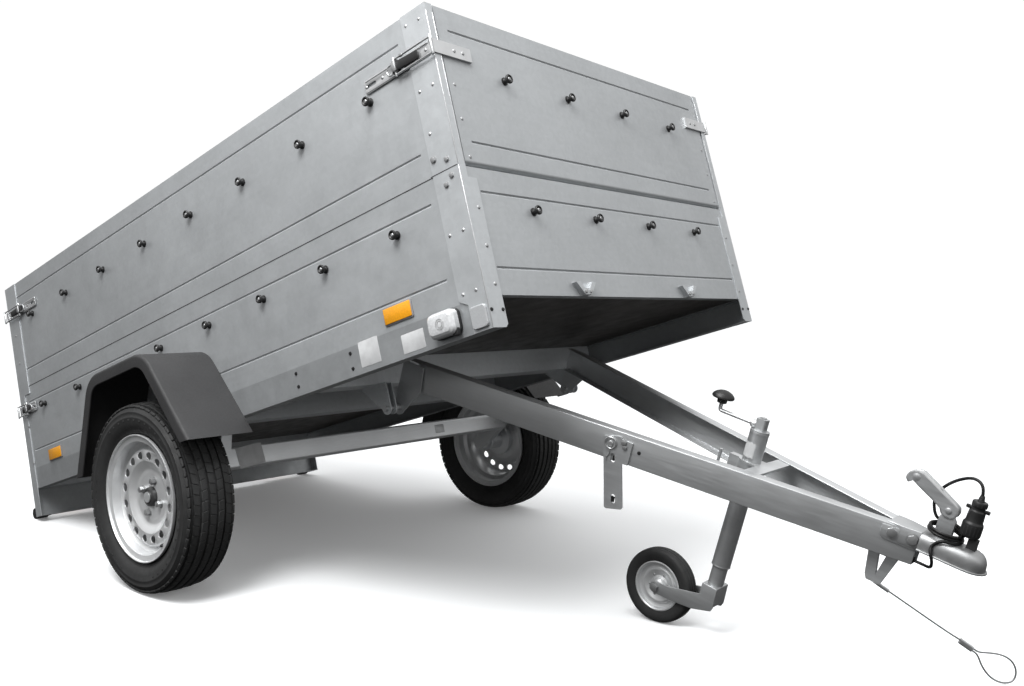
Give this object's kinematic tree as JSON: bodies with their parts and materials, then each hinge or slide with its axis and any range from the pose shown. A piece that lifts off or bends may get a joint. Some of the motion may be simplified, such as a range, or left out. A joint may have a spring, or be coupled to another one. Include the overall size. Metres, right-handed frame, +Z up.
{
  "type": "utility trailer",
  "caption": "single-axle tipping box trailer with side extensions, folded up on its V drawbar, jockey wheel and tail buffers",
  "frame": {"origin": "on the floor, at the middle of the trailer's length and width", "axes": "+X points forward to the coupling, +Y to the trailer's left, +Z up"},
  "size_m": [3.3573, 1.68, 1.5389],
  "materials": {
    "galvanised": "hot-dip galvanised sheet, dull with a soft spangle",
    "frame_steel": "galvanised structural steel, slightly darker",
    "board": "dark brown resin-faced plywood",
    "black_plastic": "moulded black plastic",
    "fender_plastic": "dark grey moulded plastic, fine grain",
    "tyre": "black tyre rubber",
    "rim_paint": "silver painted steel",
    "hub_metal": "dark hub and black cap",
    "zinc": "bright zinc plate",
    "rubber": "black rubber",
    "amber": "amber reflector plastic",
    "lamp_white": "clear lamp in a black boot",
    "lamp_red": "red and amber lamp lens",
    "frosted": "frosted plastic",
    "cable_black": "black cable sheath",
    "steel_wire": "bright stranded steel wire"
  },
  "bodies": {
    "bed": {"rail_right": "galvanised", "rail_left": "galvanised", "cross_members": "galvanised", "side_wall_right": "galvanised", "side_wall_left": "galvanised", "front_wall": "galvanised", "extension_side_right": "galvanised", "extension_side_left": "galvanised", "corner_posts": "galvanised", "extension_posts": "galvanised", "lamp_board": "galvanised", "floor_board": "board", "axle_beam": "frame_steel", "trailing_arms": "frame_steel", "hinge_brackets": "frame_steel", "lock_ears": "frame_steel", "fender_right": "fender_plastic", "fender_left": "fender_plastic", "tail_buffers": "rubber", "rope_knobs_bed": "black_plastic", "latches": "zinc", "hinge_pins": "zinc", "reflectors": "amber", "marker_lamps": "lamp_white", "tail_lamps": "lamp_red", "corner_pads": "frosted"},
    "wheel_right": {"tyre_right": "tyre", "rim_right": "rim_paint", "hub_right": "hub_metal"},
    "wheel_left": {"tyre_left": "tyre", "rim_left": "rim_paint", "hub_left": "hub_metal"},
    "tailgate": {"tailgate": "galvanised", "rope_knobs_tailgate": "black_plastic", "catches_tailgate": "zinc"},
    "extension_rear": {"extension_rear": "galvanised", "rope_knobs_extension_rear": "black_plastic", "catches_extension_rear": "zinc"},
    "extension_front": {"extension_front": "galvanised", "rope_knobs_extension_front": "black_plastic", "catches_extension_front": "zinc"},
    "drawbar": {"drawbar_beam_right": "frame_steel", "drawbar_beam_left": "frame_steel", "pivot_plates": "frame_steel", "jockey_bracket": "frame_steel", "coupling": "frame_steel", "coupling_handle": "zinc", "jockey_tube": "frame_steel", "jockey_crank": "black_plastic", "lock_strap": "frame_steel", "cable_bracket": "frame_steel", "cable_fittings": "rubber", "electric_cable": "cable_black", "cable_coil": "cable_black", "plug": "black_plastic", "safety_cable": "steel_wire", "cable_crimps": "zinc"},
    "jockey_leg": {"jockey_leg": "frame_steel"},
    "jockey_fork": {"jockey_fork": "frame_steel"},
    "jockey_wheel": {"jockey_wheel": "rubber"}
  },
  "joints": [
    {"name": "wheel_right_spin", "type": "hinge", "parent": "bed", "child": "wheel_right", "pos_m": [-0.35659, -0.753, 0.2735], "axis": [0, 1, 0], "continuous": true},
    {"name": "wheel_left_spin", "type": "hinge", "parent": "bed", "child": "wheel_left", "pos_m": [-0.35659, 0.753, 0.2735], "axis": [0, 1, 0], "continuous": true},
    {"name": "bed_tilt", "type": "hinge", "parent": "bed", "child": "drawbar", "pos_m": [0.25049, 0, 0.55495], "axis": [0, 1, 0], "range_deg": [-32, 6]},
    {"name": "tailgate_hinge", "type": "hinge", "parent": "bed", "child": "tailgate", "pos_m": [-1.45074, 0, 0.21154], "axis": [0, -1, 0], "range_deg": [0, 105]},
    {"name": "extension_rear_hinge", "type": "hinge", "parent": "bed", "child": "extension_rear", "pos_m": [-1.53689, 0, 0.49158], "axis": [0, 1, 0], "range_deg": [-90, 0]},
    {"name": "extension_front_hinge", "type": "hinge", "parent": "bed", "child": "extension_front", "pos_m": [0.67481, 0, 1.17199], "axis": [0, 1, 0], "range_deg": [0, 90]},
    {"name": "jockey_leg_slide", "type": "slide", "parent": "drawbar", "child": "jockey_leg", "axis": [-0.2571, 0, -0.9664], "range_m": [-0.045, 0.1]},
    {"name": "jockey_swivel", "type": "hinge", "parent": "jockey_leg", "child": "jockey_fork", "pos_m": [1.026, 0, 0.13661], "axis": [0.2571, 0, 0.9664], "continuous": true},
    {"name": "jockey_wheel_spin", "type": "hinge", "parent": "jockey_fork", "child": "jockey_wheel", "pos_m": [0.86414, 0, 0.1], "axis": [0, 1, 0], "continuous": true}
  ]
}
